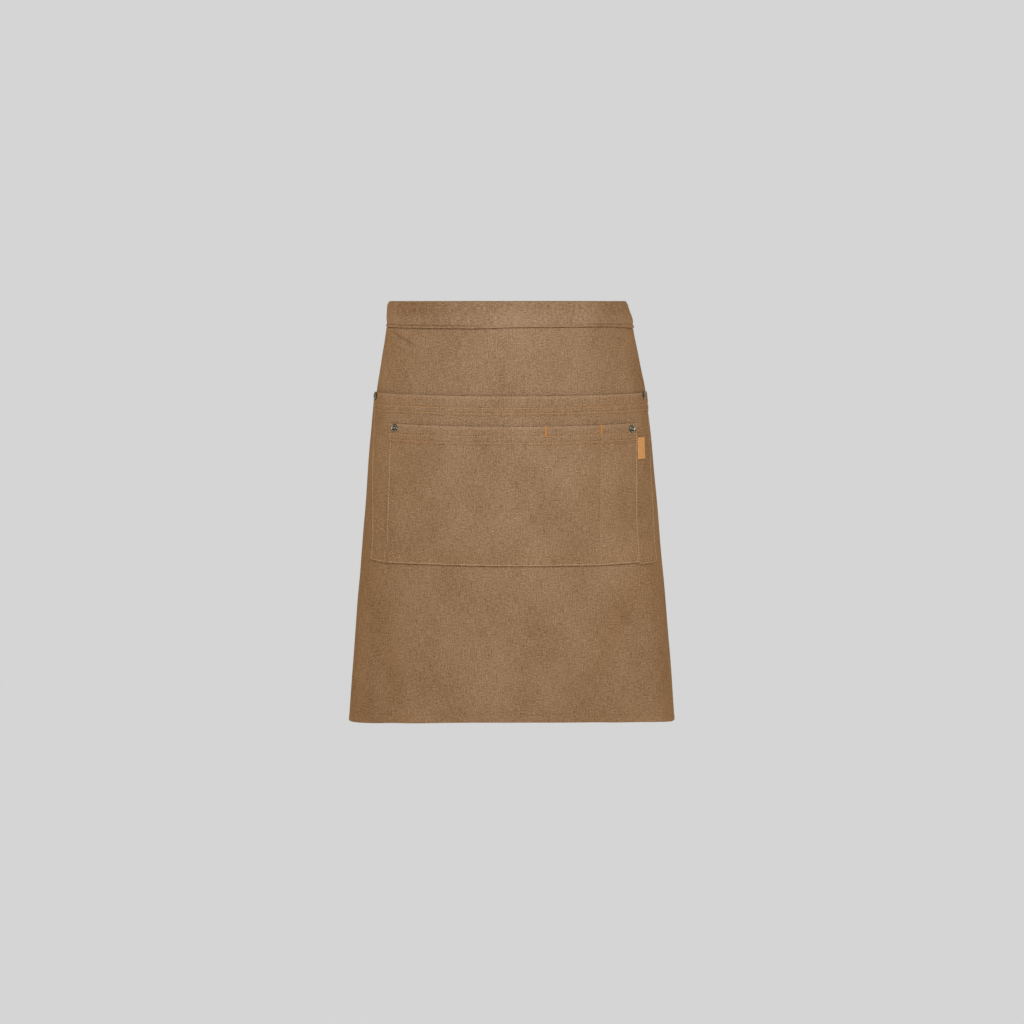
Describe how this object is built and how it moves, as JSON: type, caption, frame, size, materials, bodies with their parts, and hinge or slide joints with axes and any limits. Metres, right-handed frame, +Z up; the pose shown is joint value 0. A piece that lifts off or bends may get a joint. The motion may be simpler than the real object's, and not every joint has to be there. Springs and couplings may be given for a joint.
{
  "type": "waist apron",
  "caption": "Canvas waist apron in its worn form: wrapped panel open behind, folded waistband, wide patch pocket, parted front pocket, corner rivets, leather tab and back tape.",
  "frame": {"origin": "centre of the waist, halfway up the waistband", "axes": "+Z up, +X to the right as seen from the front, front towards -Y"},
  "size_m": [0.4091, 0.2151, 0.527],
  "materials": {
    "canvas": "matt brown heathered cotton canvas",
    "band_canvas": "matt brown heathered cotton canvas, folded",
    "rivet_metal": "antique nickel",
    "tab_leather": "smooth tan leather",
    "tie_tape": "matt brown woven tape"
  },
  "bodies": {
    "root": {"skirt_panel": "canvas", "waistband": "band_canvas", "large_pocket": "canvas", "front_pocket": "canvas", "side_tab": "tab_leather", "back_tie": "tie_tape", "rivet_large_left": "rivet_metal", "rivet_large_right": "rivet_metal", "rivet_front_left": "rivet_metal", "rivet_front_right": "rivet_metal"}
  },
  "joints": []
}
